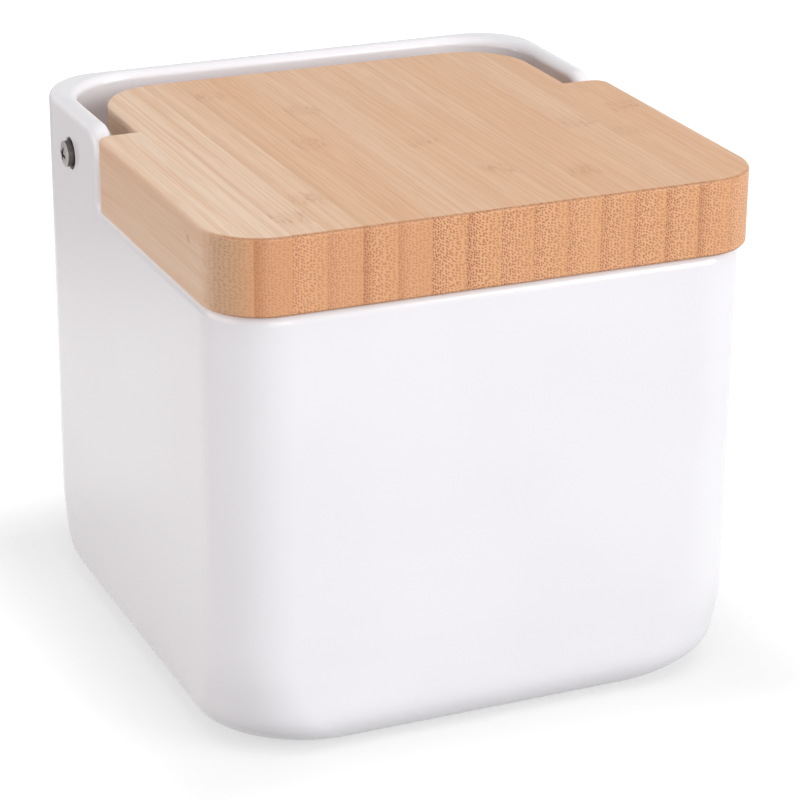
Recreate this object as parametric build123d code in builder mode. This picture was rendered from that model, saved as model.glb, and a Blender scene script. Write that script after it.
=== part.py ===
from build123d import *
from math import cos, hypot, pi, radians, tan
import os

os.makedirs("parts", exist_ok=True)

# A ceramic salt pot with a hinged lid of glued bamboo strips. Millimetres.
# The origin is the middle of the footprint, on the surface that the pot stands on.
# +Z is up, -Y is the front, where the lid lifts, and X runs along the hinge.

# Ceramic pot
pot_width = 118.4            # across the outside of the side walls
pot_depth = 121.8            # outside of the front wall to outside of the rear wall
rim_height = 98.0            # standing surface to the rim that carries the lid
wall = 4.4                   # side, front and rear walls
floor_thickness = 6.0        # floor, above the recess in the base
corner_radius = 14.0         # upright corners, seen from above
base_corner_radius = 24.0    # the same corners down at the base, where they swell
inner_corner_radius = 17.0   # upright corners inside, where the wall is thicker
inner_base_corner_radius = 20.0
corner_swell_height = 23.5   # height over which the corners grow to the base radii
base_edge_radius = 9.0       # rounding between the walls and the base
inner_edge_radius = 8.0      # rounding between the walls and the floor inside
edge_steps = 6               # sections through a rounded edge
swell_steps = 4              # sections through the swelling corners above it
foot_width = 5.0             # ring on the base that the pot stands on
foot_recess = 1.2            # how far the base is set up inside that ring

# Collar and hinge ears, raised on the rear of the rim
collar_rise = 17.1           # rim to the top of the collar and ears
ear_depth = 45.1             # front of the ears to the outside of the rear wall
ear_front_radius = 6.5       # upper front corner of each ear, seen from the side
ear_root_radius = 1.0        # where the ear's front meets the rim
rim_outer_radius = 2.3       # rounding of the rim and collar, outside
rim_flat = 0.2               # left between that rounding and the one inside
hole_edge_radius = 0.4       # glazed edges of the hinge holes

# Bamboo lid: wide shoulders in front of the ears, and a tab between the ears
lid_overhang = 0.8           # past the front and side walls of the pot
lid_thickness = 16.4
shoulder_gap = 1.4           # rear of the shoulders to the ears
tab_side_gap = 4.5           # side of the tab to the inside of the ear
tab_rear_gap = 8.9           # rear of the tab to the inside of the rear wall
lid_front_radius = 13.0      # front corners, seen from above
shoulder_radius = 3.5        # rear corners of the shoulders
tab_radius = 15.0            # rear corners of the tab
lid_edge_radius = 0.7        # rounding of the top and bottom edges
strip_count = 17             # bamboo strips, side by side
left_strip = 7.14            # width of the strip that is trimmed at the lid's left side
right_strip = 2.16           # width of the strip that is trimmed at its right side

# Hinge
pivot_in_ear = 19.2          # front of the ears to the hinge axis
pivot_above_rim = 6.7
bush_diameter = 7.0          # fills its hole in the ear
bush_set_in = 0.5            # outer end of the bush, below the ear's outer face
bush_chamfer = 0.3
washer_diameter = 9.0
washer_gap = 0.2             # clearance between the washer and the ear

# Pivot screws, pan head with a cross recess
shank_diameter = 2.9
shank_clearance = 0.05       # radial, between the shank and the bush or washer
head_diameter = 5.7
head_height = 2.1
head_dome = 0.5              # how much of that height is domed
head_gap = 0.1               # between the head and the end of the bush
thread_engagement = 13.6     # screw in the wood, tip included
thread_core_diameter = 2.1
thread_pitch = 1.1
thread_flank = 30.0          # degrees, each side of a thread's crest
tip_length = 2.4
recess_width = 3.1           # across the arms of the cross recess
recess_slot = 0.7            # width of one arm
recess_depth = 1.2
recess_taper = 9.0           # degrees
recess_turn = 17.0           # degrees, top of the cross towards the front
pilot_clearance = 0.7        # beyond the screw's tip

# Edges are picked by their place to within this distance.
tolerance = 0.01

# Places that follow from these sizes
pot_top = rim_height + collar_rise
pot_middle = lid_overhang / 2
pot_rear = pot_middle + pot_depth / 2
lid_front = pot_middle - pot_depth / 2 - lid_overhang
ear_front = pot_rear - ear_depth
shoulder_rear = ear_front - shoulder_gap
tab_rear = pot_rear - wall - tab_rear_gap
pivot_y = ear_front + pivot_in_ear
pivot_z = rim_height + pivot_above_rim
half_width = pot_width / 2
ear_inside = half_width - wall
rim_inner_radius = wall - rim_outer_radius - rim_flat
half_tab = ear_inside - tab_side_gap
half_lid = half_width + lid_overhang
strip_width = (2 * half_lid - left_strip - right_strip) / (strip_count - 2)
bush_end = half_width - bush_set_in
floor_level = foot_recess + floor_thickness
hinge_axis = Axis((0, pivot_y, pivot_z), (1, 0, 0))
sides = (("left", -1), ("right", 1))


# The pot's outline from above, at a height, set in by a wall and by a rounded bottom edge.
# Its corners grow downwards from the upper radius to the base radius.
def pot_section(height, inset, bottom, edge_radius, upper_corner, base_corner):
    below_edge = max(0, bottom + edge_radius - height)
    edge_inset = edge_radius - (edge_radius**2 - below_edge**2) ** 0.5
    swell = max(0, 1 - height / corner_swell_height)
    corner = upper_corner + (base_corner - upper_corner) * (1 - cos(pi / 2 * swell))
    with BuildSketch(Plane.XY.offset(height)) as section:
        with Locations((0, pot_middle)):
            RectangleRounded(
                pot_width - 2 * (inset + edge_inset),
                pot_depth - 2 * (inset + edge_inset),
                corner,
            )
    return section.sketch


# Sections from the bottom, through its rounded edge, to where the corners stop swelling.
def lower_sections(inset, bottom, edge_radius, upper_corner, base_corner):
    edge_top = bottom + edge_radius
    angles = [pi / 2 * step / edge_steps for step in range(edge_steps)]
    heights = [edge_top - edge_radius * cos(angle) for angle in angles]
    rise = (corner_swell_height - edge_top) / swell_steps
    heights += [edge_top + rise * step for step in range(swell_steps + 1)]
    return [
        pot_section(height, inset, bottom, edge_radius, upper_corner, base_corner)
        for height in heights
    ]


# How far inside the pot's outer wall a point of the straight part lies.
def set_in(point):
    x = abs(point.X) - (half_width - corner_radius)
    y = abs(point.Y - pot_middle) - (pot_depth / 2 - corner_radius)
    if min(x, y) > 0:
        return corner_radius - hypot(x, y)
    return corner_radius - max(x, y)


def at_ear_front(edge):
    return abs((edge @ 0.5).Y - ear_front) < tolerance


def above_rim(edge):
    return (edge @ 0.5).Z > rim_height - tolerance


def at_hinge_hole(edge):
    same_radius = abs(edge.radius - bush_diameter / 2) < tolerance
    return same_radius and abs(edge.arc_center.Z - pivot_z) < tolerance


with BuildPart() as cavity:
    inner_corners = (inner_corner_radius, inner_base_corner_radius)
    loft(lower_sections(wall, floor_level, inner_edge_radius, *inner_corners))
    with BuildSketch(Plane.XY.offset(corner_swell_height)):
        with Locations((0, pot_middle)):
            RectangleRounded(pot_width - 2 * wall, pot_depth - 2 * wall, inner_corner_radius)
    extrude(amount=pot_top - corner_swell_height)

with BuildPart() as pot:
    loft(lower_sections(0, 0, base_edge_radius, corner_radius, base_corner_radius))
    with BuildSketch(Plane.XY.offset(corner_swell_height)):
        with Locations((0, pot_middle)):
            RectangleRounded(pot_width, pot_depth, corner_radius)
    extrude(amount=pot_top - corner_swell_height)
    # The front is lower, so that the lid's shoulders rest on the rim between the ears.
    with BuildSketch(Plane.YZ):
        with Locations((ear_front, rim_height)):
            Rectangle(pot_depth, collar_rise, align=(Align.MAX, Align.MIN))
    extrude(amount=half_width, both=True, mode=Mode.SUBTRACT)
    step = pot.edges().filter_by(Axis.X).filter_by(at_ear_front)
    fillet(step.sort_by(Axis.Z)[-1], ear_front_radius)
    step = pot.edges().filter_by(Axis.X).filter_by(at_ear_front)
    fillet(step.sort_by(Axis.Z)[0], ear_root_radius)
    rim = pot.edges().filter_by(above_rim)
    fillet(rim.filter_by(lambda e: set_in(e @ 0.5) < tolerance), rim_outer_radius)
    add(cavity.part, mode=Mode.SUBTRACT)
    rim = pot.edges().filter_by(above_rim)
    fillet(rim.filter_by(lambda e: set_in(e @ 0.5) > wall - tolerance), rim_inner_radius)
    # Hinge holes through both ears
    with BuildSketch(Plane.YZ):
        with Locations((pivot_y, pivot_z)):
            Circle(bush_diameter / 2)
    extrude(amount=half_width, both=True, mode=Mode.SUBTRACT)
    hole_edges = pot.edges().filter_by(GeomType.CIRCLE).filter_by(at_hinge_hole)
    fillet(hole_edges, hole_edge_radius)
    # Recess inside the foot ring
    foot_inset = base_edge_radius + foot_width
    with BuildSketch(Plane.XY):
        with Locations((0, pot_middle)):
            RectangleRounded(
                pot_width - 2 * foot_inset,
                pot_depth - 2 * foot_inset,
                base_corner_radius - foot_width,
            )
    extrude(amount=foot_recess, mode=Mode.SUBTRACT)
pot.part.label = "pot"
export_step(pot.part, "parts/pot.step")


with BuildPart() as lid_board:
    with BuildSketch(Plane.XY.offset(rim_height)) as lid_outline:
        with Locations((0, lid_front)):
            Rectangle(2 * half_lid, shoulder_rear - lid_front, align=(Align.CENTER, Align.MIN))
            Rectangle(2 * half_tab, tab_rear - lid_front, align=(Align.CENTER, Align.MIN))
        fillet(lid_outline.vertices().group_by(Axis.Y)[0], lid_front_radius)
        fillet(lid_outline.vertices().group_by(Axis.Y)[-1], tab_radius)
        shoulders = lid_outline.vertices().filter_by(lambda v: abs(v.Y - shoulder_rear) < tolerance)
        fillet(shoulders.sort_by(Axis.X)[0::3], shoulder_radius)
    extrude(amount=lid_thickness)
    fillet(lid_board.faces().filter_by(Axis.Z).edges(), lid_edge_radius)
    for _, side in sides:
        with BuildSketch(Plane.YZ.offset(side * half_tab)):
            with Locations((pivot_y, pivot_z)):
                Circle(shank_diameter / 2)
        extrude(amount=-side * (thread_engagement + pilot_clearance), mode=Mode.SUBTRACT)

# The glued joints between the strips, from the left side of the lid to its right side
joints = [left_strip - half_lid + strip_width * n for n in range(strip_count - 1)]
strip_sides = [-half_lid, *joints, half_lid]

for number, (left, right) in enumerate(zip(strip_sides, strip_sides[1:]), 1):
    with BuildPart() as strip:
        add(lid_board.part)
        with BuildSketch(Plane.XY.offset(rim_height)):
            with Locations((left, lid_front)):
                Rectangle(right - left, tab_rear - lid_front, align=(Align.MIN, Align.MIN))
        extrude(amount=lid_thickness, mode=Mode.INTERSECT)
    strip.part.label = f"lid_strip_{number:02d}"
    export_step(strip.part, f"parts/lid_strip_{number:02d}.step")


for name, side in sides:
    # Local x points out of the pot along the hinge axis, and local y is the radius.
    profile_plane = Plane((0, pivot_y, pivot_z), x_dir=(side, 0, 0), z_dir=(0, -side, 0))
    bore_radius = shank_diameter / 2 + shank_clearance

    with BuildPart() as bush:
        with BuildSketch(profile_plane):
            with Locations((ear_inside, bore_radius)):
                Rectangle(
                    bush_end - ear_inside,
                    bush_diameter / 2 - bore_radius,
                    align=(Align.MIN, Align.MIN),
                )
        revolve(axis=hinge_axis)
        outer_end = bush.faces().filter_by(Axis.X).sort_by(Axis.X)[-1 if side > 0 else 0]
        chamfer(outer_end.edges(), bush_chamfer)
    bush.part.label = f"{name}_ear_bush"
    export_step(bush.part, f"parts/{name}_ear_bush.step")

    with BuildPart() as washer:
        with BuildSketch(profile_plane):
            with Locations((half_tab, bore_radius)):
                Rectangle(
                    ear_inside - washer_gap - half_tab,
                    washer_diameter / 2 - bore_radius,
                    align=(Align.MIN, Align.MIN),
                )
        revolve(axis=hinge_axis)
    washer.part.label = f"{name}_spacer_washer"
    export_step(washer.part, f"parts/{name}_spacer_washer.step")

    with BuildPart() as screw:
        head_under = bush_end + head_gap
        head_edge = head_under + head_height - head_dome
        head_top = head_under + head_height
        head_radius = head_diameter / 2
        shank_radius = shank_diameter / 2
        core_radius = thread_core_diameter / 2
        crest_half = (shank_radius - core_radius) * tan(radians(thread_flank))
        tip = half_tab - thread_engagement
        turns = int((thread_engagement - tip_length) // thread_pitch)
        thread = [(half_tab, core_radius)]
        for turn in range(turns):
            crest = half_tab - thread_pitch * (turn + 0.5)
            thread += [
                (crest + crest_half, core_radius),
                (crest, shank_radius),
                (crest - crest_half, core_radius),
            ]
        with BuildSketch(profile_plane):
            with BuildLine():
                dome_radius = (head_radius**2 + head_dome**2) / (2 * head_dome)
                Polyline(
                    (head_top, 0),
                    (tip, 0),
                    (tip + tip_length, core_radius),
                    *reversed(thread),
                    (half_tab, shank_radius),
                    (head_under, shank_radius),
                    (head_under, head_radius),
                    (head_edge, head_radius),
                )
                RadiusArc((head_edge, head_radius), (head_top, 0), dome_radius)
            make_face()
        revolve(axis=hinge_axis)
        recess_plane = Plane(
            (side * head_top, pivot_y, pivot_z), x_dir=(0, side, 0), z_dir=(side, 0, 0)
        )
        with BuildSketch(recess_plane):
            with Locations(Rotation(0, 0, side * recess_turn)):
                Rectangle(recess_slot, recess_width)
                Rectangle(recess_width, recess_slot)
        extrude(amount=-recess_depth, taper=recess_taper, mode=Mode.SUBTRACT)
    screw.part.label = f"{name}_pivot_screw"
    export_step(screw.part, f"parts/{name}_pivot_screw.step")
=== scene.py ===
from math import cos, e, radians, sin

import bpy
from mathutils import Matrix, Vector


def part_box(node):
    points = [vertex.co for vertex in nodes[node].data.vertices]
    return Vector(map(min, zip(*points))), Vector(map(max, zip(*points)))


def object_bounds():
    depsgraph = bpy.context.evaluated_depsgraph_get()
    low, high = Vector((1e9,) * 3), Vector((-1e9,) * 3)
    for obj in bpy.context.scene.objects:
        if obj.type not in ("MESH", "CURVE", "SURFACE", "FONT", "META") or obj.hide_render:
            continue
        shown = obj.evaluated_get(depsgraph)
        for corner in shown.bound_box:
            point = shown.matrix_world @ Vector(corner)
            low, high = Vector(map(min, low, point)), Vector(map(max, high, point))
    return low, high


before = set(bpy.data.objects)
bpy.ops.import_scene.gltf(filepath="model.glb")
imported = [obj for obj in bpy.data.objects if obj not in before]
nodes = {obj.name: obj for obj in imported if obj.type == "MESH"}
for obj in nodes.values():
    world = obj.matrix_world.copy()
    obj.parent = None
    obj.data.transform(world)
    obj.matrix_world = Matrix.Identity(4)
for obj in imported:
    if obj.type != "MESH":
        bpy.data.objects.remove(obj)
cad_low, cad_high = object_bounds()

# A millimetre in metres. The materials work in millimetres.
mm = 0.001

# The photograph's viewing angle
camera_place = Vector((-0.24625, -0.56942, 0.30078))
camera_azimuth = radians(23.75)      # the view looks along +Y, turned towards +X
camera_drop = radians(21.94)         # and down
camera_roll = radians(0.50)
camera_lens = 135.69                 # on a sensor 36 mm wide
sensor_width = 36.0

# The bamboo's grain, in millimetres
strip_width = 7.38       # of the lid's whole strips
crowded_pitch = 0.48     # from one bundle of fibres to the next, at a strip's left side
open_pitch = 0.96        # and at its right side
row_pitch = 0.60         # from one row of bundles to the next, upwards
joint_reach = 5.5        # how far from a joint of the cane the fibres are bent and dark
joint_bow = 6.0          # how far the joint's line strays along the strip
wander_across = 0.8      # how far the bundles stray along their length
wander_up = 2.4
fleck_behind = 18.5      # the dark fleck's place, behind the lid's front
fleck_height = 110.0     # and above the table

# The bundles' radius, as a share of the pitch: the least, and how much more the largest have
least_radius = 0.33
more_radius = 0.14

# Each strip of bamboo, from the left side of the lid: how strongly its bundles show on the end
# grain, how dark its left edge and its whole end are, how light its long grain is, and how far
# behind the lid's front a joint of the cane crosses it, 0 for none
strips = [
    (0.38, 0.35, 0.10, 1.00, 0.0),
    (0.38, 0.85, 0.40, 0.95, 0.0),
    (0.70, 0.25, 0.10, 0.72, 10.0),
    (0.50, 0.35, 0.30, 0.48, 20.0),
    (0.75, 0.95, 0.15, 0.22, 95.0),
    (0.50, 0.55, 0.28, 0.15, 54.0),
    (0.95, 0.40, 0.00, 0.30, 78.0),
    (1.00, 0.65, 0.00, 0.38, 0.0),
    (0.90, 0.22, 0.05, 0.24, 47.0),
    (0.88, 0.25, 0.00, 0.32, 24.0),
    (0.75, 0.40, 0.00, 0.28, 0.0),
    (0.85, 0.45, 0.08, 0.16, 16.0),
    (0.90, 0.35, 0.00, 0.22, 0.0),
    (0.85, 0.60, 0.00, 0.38, 48.0),
    (0.75, 0.75, 0.10, 0.22, 38.0),
    (0.60, 0.35, 0.00, 0.14, 55.0),
    (0.40, 0.20, 0.00, 0.30, 0.0),
]

# The colours, linear: first the glaze, where its coat is thin and where it is thick
glaze_thin = (0.86, 0.845, 0.876, 1)
glaze_thick = (0.88, 0.867, 0.893, 1)

# The bamboo's end grain
end_left = (0.775, 0.42, 0.235, 1)       # between the bundles, at a strip's left side
end_right = (0.735, 0.375, 0.187, 1)     # and at its right side
end_dark = (0.60, 0.27, 0.14, 1)         # of the darker strips
end_edge = (0.52, 0.225, 0.105, 1)       # at the strip's crowded edge
end_at_side = (0.50, 0.36, 0.235, 1)     # where the front turns into the lid's sides
end_at_top = (0.46, 0.24, 0.13, 1)       # and into its top and underside
bundle_end = (0.27, 0.075, 0.015, 1)

# The bamboo's long grain
long_tan = (0.77, 0.435, 0.235, 1)
long_pale = (0.91, 0.70, 0.53, 1)
long_band = (0.75, 0.41, 0.215, 1)
long_streak = (0.42, 0.21, 0.115, 1)
long_joint = (0.60, 0.30, 0.155, 1)
long_side = (0.60, 0.35, 0.20, 1)        # on the lid's sides
fleck_brown = (0.34, 0.18, 0.13, 1)

# The screws, the bushes and the washers
steel_bright = (0.55, 0.52, 0.50, 1)
steel_dull = (0.36, 0.335, 0.315, 1)
# painted shade for the turned sides of the screw heads
steel_painted_shade = (0.07, 0.062, 0.055, 1)
plastic = ((0.035, 0.030, 0.028, 1), (0.06, 0.052, 0.048, 1))
nylon = ((0.72, 0.70, 0.66, 1), (0.80, 0.79, 0.76, 1))

# The floor, in millimetres, and its glow, where 1 is white
floor_reach = 4000.0
shadow_reach = 50.0                  # how far from the object the contact shadow goes
mirror_dims = (270.0, 470.0)         # where, behind on the left, its mirror image dims
floor_grey = (0.38, 0.38, 0.38, 1)
glow_near = 0.58                     # at the object
glow_far = 0.90                      # beyond the shadow
glow_lost = 0.75                     # the share that the dimmed mirror image lacks

# The world's strength as a light, where 1 is white
fill = 0.25


class Shader:
    """The nodes of a material or the world, made and joined by short calls."""

    def __init__(self, owner):
        self.owner = owner
        owner.use_nodes = True
        self.tree = owner.node_tree
        self.tree.nodes.clear()

    def join(self, value, socket):
        if isinstance(value, bpy.types.NodeSocket):
            self.tree.links.new(value, socket)
        else:
            socket.default_value = value

    def node(self, kind, inputs=None, **settings):
        made = self.tree.nodes.new(kind)
        for key, value in settings.items():
            setattr(made, key, value)
        for key, value in (inputs or {}).items():
            self.join(value, made.inputs[key])
        return made

    def math(self, operation, *values):
        made = self.node("ShaderNodeMath", operation=operation)
        for value, socket in zip(values, made.inputs):
            self.join(value, socket)
        return made.outputs[0]

    def add(self, *values):
        total = values[0]
        for value in values[1:]:
            total = self.math("ADD", total, value)
        return total

    def times(self, *values):
        total = values[0]
        for value in values[1:]:
            total = self.math("MULTIPLY", total, value)
        return total

    def minus(self, a, b):
        return self.math("SUBTRACT", a, b)

    def larger(self, a, b):
        return self.math("MAXIMUM", a, b)

    def absolute(self, value):
        return self.math("ABSOLUTE", value)

    def step(self, value, start, end, at_start=0.0, at_end=1.0):
        """A smooth step from at_start to at_end, as the value goes from start to end."""
        ends = {"From Min": start, "From Max": end, "To Min": at_start, "To Max": at_end}
        made = self.node(
            "ShaderNodeMapRange", {"Value": value, **ends}, interpolation_type="SMOOTHSTEP"
        )
        return made.outputs["Result"]

    def parts(self, vector):
        """A vector's x, y and z."""
        return self.node("ShaderNodeSeparateXYZ", {0: vector}).outputs

    def place(self):
        """The point on the piece, in millimetres, as x, y and z."""
        where = self.node("ShaderNodeTexCoord").outputs["Object"]
        scaled = self.node("ShaderNodeVectorMath", {0: where, "Scale": 1 / mm}, operation="SCALE")
        return self.parts(scaled.outputs[0])

    def facing(self, axis):
        """How squarely the surface faces along an axis, from 0 to 1."""
        return self.absolute(self.parts(self.node("ShaderNodeTexCoord").outputs["Normal"])[axis])

    def point(self, x, y=0.0, z=0.0):
        return self.node("ShaderNodeCombineXYZ", {0: x, 1: y, 2: z}).outputs[0]

    def noise(self, place, per_mm, detail=2.0, seed=0.0):
        """Noise from 0 to 1, with so many features per millimetre, one number for all axes or
        one for each."""
        rates = per_mm if isinstance(per_mm, tuple) else (per_mm,) * len(place)
        where = self.point(*(self.times(value, rate) for value, rate in zip(place, rates)))
        made = self.node(
            "ShaderNodeTexNoise",
            {"Vector": where, "W": seed, "Scale": 1.0, "Detail": detail, "Roughness": 0.5},
            noise_dimensions="4D",
        )
        return made.outputs["Fac"]

    def cells(self, x, y, randomness):
        """Scattered cells one unit apart, as the distance to the middle of the nearest one and
        a chance value of its own from 0 to 1."""
        made = self.node(
            "ShaderNodeTexVoronoi",
            {"Vector": self.point(x, y), "Scale": 1.0, "Randomness": randomness},
            voronoi_dimensions="2D",
        )
        return made.outputs["Distance"], self.parts(made.outputs["Color"])[0]

    def blend(self, factor, a, b):
        made = self.node("ShaderNodeMix", data_type="RGBA")
        for value, socket in zip((factor, a, b), (made.inputs[0], made.inputs[6], made.inputs[7])):
            self.join(value, socket)
        return made.outputs[2]

    def bump(self, height, strength, distance):
        inputs = {"Height": height, "Strength": strength, "Distance": distance}
        return self.node("ShaderNodeBump", inputs).outputs[0]

    def surface(self, inputs):
        """Ends the material with a Principled shader, and gives it back."""
        shader = self.node("ShaderNodeBsdfPrincipled", inputs)
        self.node("ShaderNodeOutputMaterial", {"Surface": shader.outputs[0]})
        return self.owner


def new_material(name):
    return Shader(bpy.data.materials.new(name))


def dress(node, material):
    """Gives a CAD node its material."""
    mesh = nodes[node].data
    mesh.materials.clear()
    mesh.materials.append(material)


def glaze():
    """White glaze, glossy, with the faint unevenness of a dipped coat."""
    s = new_material("white_glaze")
    place = s.place()
    swell = s.noise(place, 0.03, detail=1.0, seed=3.0)
    fine = s.noise(place, 0.35, seed=8.0)
    return s.surface(
        {
            "Base Color": s.blend(s.step(swell, 0.3, 0.7), glaze_thin, glaze_thick),
            "Roughness": s.step(fine, 0.3, 0.7, 0.10, 0.14),
            "Normal": s.bump(s.add(swell, s.times(fine, 0.06)), 0.12, 0.001),
            "IOR": 1.5,
        }
    )


def bamboo(number, left, bundles, edge, dark, light, joint_at):
    """One strip of cane. Its fibre bundles run along Y, small and crowded at the strip's left,
    larger and further apart at its right. Ends show them as dots, long faces as lines."""
    s = new_material(f"bamboo_{number:02d}")
    x, y, z = s.place()
    seed = number * 7.3
    along = s.minus(y, cad_low.y / mm)
    at_side = number in (1, len(strips))

    # A joint of the cane bends the fibres and darkens them.
    joint = 0.0
    if joint_at:
        bow = s.minus(s.noise((x,), 0.25, seed=seed + 1), 0.5)
        from_joint = s.minus(along, s.add(joint_at, s.times(bow, joint_bow)))
        joint = s.step(s.absolute(from_joint), joint_reach, 1.0)

    # The bundles wander a little along their length.
    drift_x = s.minus(s.noise((x, along, z), (0.2, 0.03, 0.2), seed=seed), 0.5)
    drift_z = s.minus(s.noise((x, along, z), (0.3, 0.025, 0.1), seed=seed + 2), 0.5)
    ripple = s.times(s.minus(s.noise((x, along), (0.9, 0.6), seed=seed + 3), 0.5), joint)
    gx = s.add(x, s.times(drift_x, wander_across), ripple)
    gz = s.add(z, s.times(drift_z, wander_up), ripple)

    # Staggered bundles: their spacing across the strip grows with t, from left to right.
    t = s.times(s.minus(gx, left), 1 / strip_width)
    growth = open_pitch - crowded_pitch
    widened = s.larger(s.add(1.0, s.times(t, growth / crowded_pitch)), 0.2)
    packed = s.math("LOGARITHM", widened, e)
    column = s.add(s.times(packed, strip_width / growth), seed)
    row = s.add(s.times(gz, 1 / row_pitch), s.times(column, 0.5))
    reach, chance = s.cells(column, row, 0.58)
    radius = s.add(least_radius, s.times(chance, more_radius))
    bundle = s.step(reach, radius, s.times(radius, 0.55))
    t = s.math("MINIMUM", s.larger(t, 0.0), 1.0)
    crowded_edge = s.times(s.step(t, 0.42, 0.0), edge)

    # How squarely the surface is cut across the fibres, and how much it faces sideways and up
    end_cut = s.step(s.facing("Y"), 0.08, 0.55)
    side_face = s.step(s.facing("X"), 0.3, 0.9)
    top_face = s.step(s.facing("Z"), 0.2, 0.6)

    # End grain
    end_colour = s.blend(t, end_left, end_right)
    end_colour = s.blend(dark, end_colour, end_dark)
    end_colour = s.blend(s.times(crowded_edge, 0.75), end_colour, end_edge)
    if at_side:
        end_colour = s.blend(s.times(side_face, 0.6), end_colour, end_at_side)
    end_colour = s.blend(s.times(top_face, 0.8), end_colour, end_at_top)
    dot = s.times(bundle, s.add(0.35, s.times(s.minus(1.0, t), 0.53)), bundles)
    end_colour = s.blend(dot, end_colour, bundle_end)

    # Long grain
    grain = (gx, along, gz)
    wide = s.noise(grain, (0.35, 0.012, 0.35), seed=seed + 4)
    fine = s.noise(grain, (2.4, 0.03, 2.4), detail=3.0, seed=seed + 5)
    flecks = s.noise(grain, (0.9, 0.3, 0.9), detail=1.0, seed=seed + 6)
    long_colour = s.blend(light, long_tan, long_pale)
    long_colour = s.blend(s.step(wide, 0.35, 0.65, 0.0, 0.45), long_colour, long_band)
    streaks = s.times(s.add(bundle, s.step(fine, 0.45, 0.75), crowded_edge), 0.10)
    long_colour = s.blend(streaks, long_colour, long_streak)
    mark = s.times(joint, s.add(0.15, s.times(s.step(flecks, 0.48, 0.7), 0.5)))
    long_colour = s.blend(mark, long_colour, long_joint)
    if at_side:
        long_colour = s.blend(s.times(side_face, 0.4), long_colour, long_side)
    if number == 1:
        # A dark fleck in the left side of the lid, longer than wide and aslant
        behind, above = s.minus(along, fleck_behind), s.minus(z, fleck_height)
        length = s.add(s.times(behind, 0.52), s.times(above, 0.32))
        width = s.add(s.times(behind, -0.80), s.times(above, 1.30))
        off = s.math("SQRT", s.add(s.times(length, length), s.times(width, width)))
        fleck = s.times(s.step(off, 1.0, 0.2), side_face, 0.55)
        long_colour = s.blend(fleck, long_colour, fleck_brown)

    return s.surface(
        {
            "Base Color": s.blend(end_cut, long_colour, end_colour),
            "Roughness": s.add(0.42, s.times(bundle, 0.12)),
            "Specular IOR Level": 0.35,
            "Normal": s.bump(s.minus(s.times(fine, 0.3), s.times(bundle, 0.7)), 0.25, 0.0002),
        }
    )


def steel():
    """Bright plated steel, with painted shade round the head's turned sides, which are made darker
    than its face.
    """
    s = new_material("plated_steel")
    grime = s.noise(s.place(), 0.9, detail=3.0, seed=1.0)
    colour = s.blend(s.step(grime, 0.35, 0.7), steel_bright, steel_dull)
    # Painted shade: the surfaces that don't face along the screw's axis are darkened.
    painted_side_shade = s.step(s.facing("X"), 0.7, 0.3)
    return s.surface(
        {
            "Base Color": s.blend(s.times(painted_side_shade, 0.85), colour, steel_painted_shade),
            "Metallic": 1.0,
            "Roughness": s.step(grime, 0.3, 0.7, 0.28, 0.45),
            "Normal": s.bump(grime, 0.2, 0.0002),
        }
    )


def moulded(name, colours, roughness):
    """Moulded plastic with a fine mottled skin of two colours."""
    s = new_material(name)
    skin = s.noise(s.place(), 3.0, detail=3.0, seed=5.0)
    return s.surface(
        {
            "Base Color": s.blend(s.step(skin, 0.3, 0.7), *colours),
            "Roughness": s.add(roughness, s.times(skin, 0.1)),
            "Normal": s.bump(skin, 0.15, 0.0001),
        }
    )


def dress_all():
    dress("pot", glaze())
    for number, traits in enumerate(strips, 1):
        node = f"lid_strip_{number:02d}"
        low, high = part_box(node)
        # The lid's left side cuts the first strip, so it is measured from its right side.
        left = low.x / mm if number > 1 else high.x / mm - strip_width
        dress(node, bamboo(number, left, *traits))
    screw_steel = steel()
    bush_plastic = moulded("dark_plastic", plastic, roughness=0.4)
    washer_nylon = moulded("nylon", nylon, roughness=0.35)
    for side in ("left", "right"):
        dress(f"{side}_pivot_screw", screw_steel)
        dress(f"{side}_ear_bush", bush_plastic)
        dress(f"{side}_spacer_washer", washer_nylon)


def add_camera():
    data = bpy.data.cameras.new("camera")
    data.lens = camera_lens
    data.sensor_width = sensor_width
    data.clip_start = 0.05
    data.clip_end = 20.0
    camera = bpy.data.objects.new("camera", data)
    bpy.context.scene.collection.objects.link(camera)
    level = cos(camera_drop)
    ahead = Vector((sin(camera_azimuth) * level, cos(camera_azimuth) * level, -sin(camera_drop)))
    right = ahead.cross(Vector((0, 0, 1))).normalized()
    up = right.cross(ahead)
    rolled_right = cos(camera_roll) * right + sin(camera_roll) * up
    rolled_up = cos(camera_roll) * up - sin(camera_roll) * right
    turn = Matrix((rolled_right, rolled_up, -ahead)).transposed()
    camera.matrix_world = Matrix.Translation(camera_place) @ turn.to_4x4()
    bpy.context.scene.camera = camera


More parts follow.
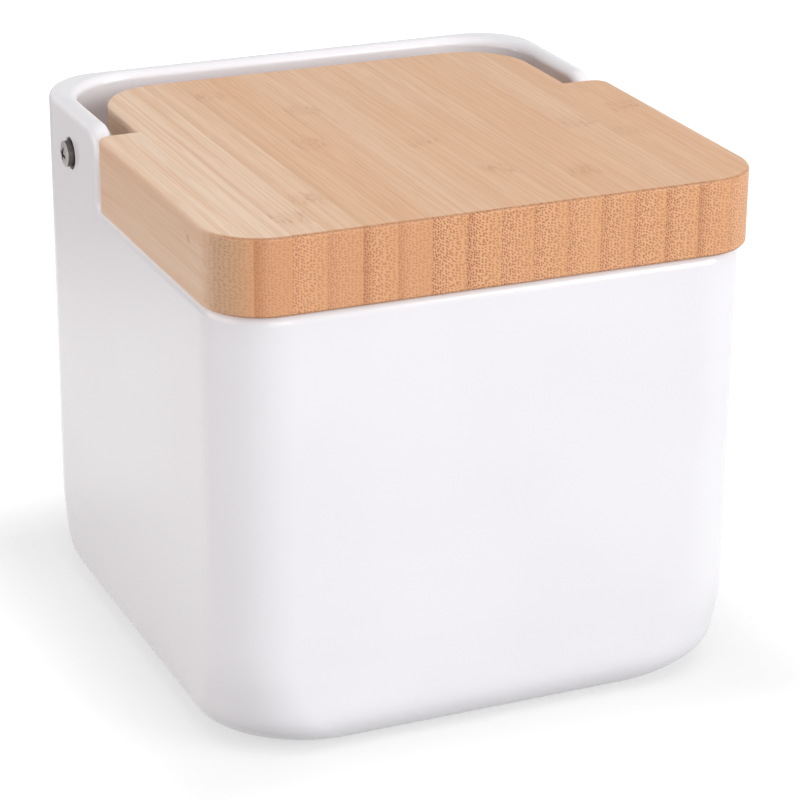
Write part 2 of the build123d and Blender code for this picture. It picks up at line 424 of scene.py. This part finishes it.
def add_floor():
    """A plain pale floor. It shows white, and keeps the object's shadow."""
    mesh = bpy.data.meshes.new("floor")
    far = floor_reach * mm
    corners = [(-far, -far, 0), (far, -far, 0), (far, far, 0), (-far, far, 0)]
    mesh.from_pydata(corners, [], [(0, 1, 2, 3)])
    floor = bpy.data.objects.new("floor", mesh)
    bpy.context.scene.collection.objects.link(floor)

    # Light falls on it as on a grey floor, and it glows only where it is seen: straight, in a
    # reflection or through glass.
    s = new_material("pale_floor")
    lit = s.node("ShaderNodeBsdfDiffuse", {"Color": floor_grey})
    ray = s.node("ShaderNodeLightPath").outputs
    seen = s.larger(ray["Is Camera Ray"], ray["Is Glossy Ray"])
    seen = s.larger(seen, ray["Is Transmission Ray"])

    # The glow is weaker close round the object, which makes the contact shadow, and in what
    # the object mirrors of the floor behind it on the left.
    x, y, _ = s.place()
    beside = s.larger(s.minus(s.absolute(x), cad_high.x / mm), 0.0)
    before = s.larger(s.minus(s.absolute(y), cad_high.y / mm), 0.0)
    away = s.math("SQRT", s.add(s.math("POWER", beside, 2.0), s.math("POWER", before, 2.0)))
    glow = s.step(away, 0.0, shadow_reach, glow_near, glow_far)
    dimmed = s.times(ray["Is Glossy Ray"], s.step(s.minus(y, x), *mirror_dims, 0.0, glow_lost))
    white = s.node("ShaderNodeEmission", {"Strength": s.times(glow, s.minus(1.0, dimmed))})
    shown = s.node("ShaderNodeMixShader", {0: seen, 2: white.outputs[0]})
    both = s.node("ShaderNodeAddShader", {0: lit.outputs[0], 1: shown.outputs[0]})
    s.node("ShaderNodeOutputMaterial", {"Surface": both.outputs[0]})
    mesh.materials.append(s.owner)


def add_world():
    """White where it is seen or mirrored, and a soft fill for everything else."""
    world = bpy.data.worlds.new("studio")
    bpy.context.scene.world = world
    s = Shader(world)
    ray = s.node("ShaderNodeLightPath").outputs
    seen = s.larger(ray["Is Camera Ray"], ray["Is Glossy Ray"])
    strength = s.node("ShaderNodeMapRange", {"Value": seen, "To Min": fill, "To Max": 1.0})
    inputs = {"Color": (1, 1, 1, 1), "Strength": strength.outputs["Result"]}
    background = s.node("ShaderNodeBackground", inputs)
    s.node("ShaderNodeOutputWorld", {"Surface": background.outputs[0]})


def add_softbox(name, place, size, power, colour=(1.0, 1.0, 1.0), mirrored=True):
    """A rectangular lamp that faces the middle of the object, in metres and watts."""
    data = bpy.data.lights.new(name, "AREA")
    data.shape = "RECTANGLE"
    data.size, data.size_y = size
    data.energy = power
    data.color = colour
    light = bpy.data.objects.new(name, data)
    bpy.context.scene.collection.objects.link(light)
    light.visible_glossy = mirrored
    light.location = place
    light.rotation_mode = "QUATERNION"
    middle = Vector((0.0, 0.0, 0.05))
    light.rotation_quaternion = (middle - Vector(place)).to_track_quat("-Z", "Y")


def add_studio():
    """Soft lamps all round. The object doesn't mirror the two that would leave bright lines
    along its rims, above the front and behind."""
    square = (0.8, 0.8)
    cool, warm = (1.0, 1.0, 1.01), (1.045, 0.985, 0.98)
    add_softbox("front", (0.0, -1.4, 0.55), square, power=5.9, colour=cool)
    add_softbox("front_right", (0.9, -1.1, 0.55), square, power=10.3, colour=cool)
    add_softbox("front_top", (0.0, -0.55, 1.35), square, power=6.2, mirrored=False)
    add_softbox("top_right", (0.9, -0.3, 1.1), square, power=1.0)
    add_softbox("rear", (0.0, 1.3, 0.30), (1.2, 0.5), power=6.2, mirrored=False)
    add_softbox("left", (-0.42, 0.02, 0.11), (0.45, 0.30), power=0.80, colour=warm)


dress_all()
add_camera()
add_floor()
add_world()
add_studio()
bpy.context.scene.view_settings.view_transform = "Standard"
